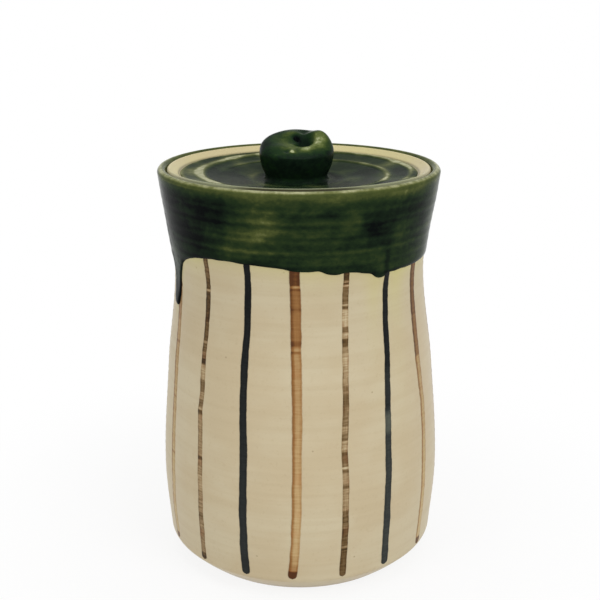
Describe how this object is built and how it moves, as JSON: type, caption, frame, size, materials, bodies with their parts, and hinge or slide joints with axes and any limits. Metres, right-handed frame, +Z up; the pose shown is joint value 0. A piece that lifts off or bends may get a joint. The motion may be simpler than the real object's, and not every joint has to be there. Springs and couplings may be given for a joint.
{
  "type": "lidded fresh-water jar",
  "caption": "Slim stoneware fresh-water jar for tea ceremony, waisted and flared at the mouth, with green-glazed neck, brushed stripes and a drop-in dished lid with a pinched knob.",
  "frame": {"origin": "centre of the foot ring, on the surface that the jar stands on", "axes": "+Z up along the jar's axis, front of the jar towards -Y, +X to the right as seen from the front"},
  "size_m": [0.1404, 0.1408, 0.2131],
  "materials": {
    "pale_glaze": "semi-gloss warm cream glaze over stoneware",
    "green_glaze": "glossy mottled copper-green glaze",
    "iron_brown": "brushed iron-red pigment under glaze",
    "umber_grey": "dry-brushed umber pigment under glaze",
    "cobalt_black": "brushed blue-black pigment under glaze"
  },
  "bodies": {
    "jar": {"jar_body": "pale_glaze", "jar_green_glaze": "green_glaze", "iron_stripes": "iron_brown", "umber_stripes": "umber_grey", "cobalt_stripes": "cobalt_black"},
    "lid": {"lid_plate": "pale_glaze", "lid_green_glaze": "green_glaze", "lid_knob": "green_glaze"}
  },
  "joints": [
    {"name": "lid_lift", "type": "slide", "parent": "jar", "child": "lid", "axis": [0, 0, 1], "range_m": [0, 0.15]}
  ]
}
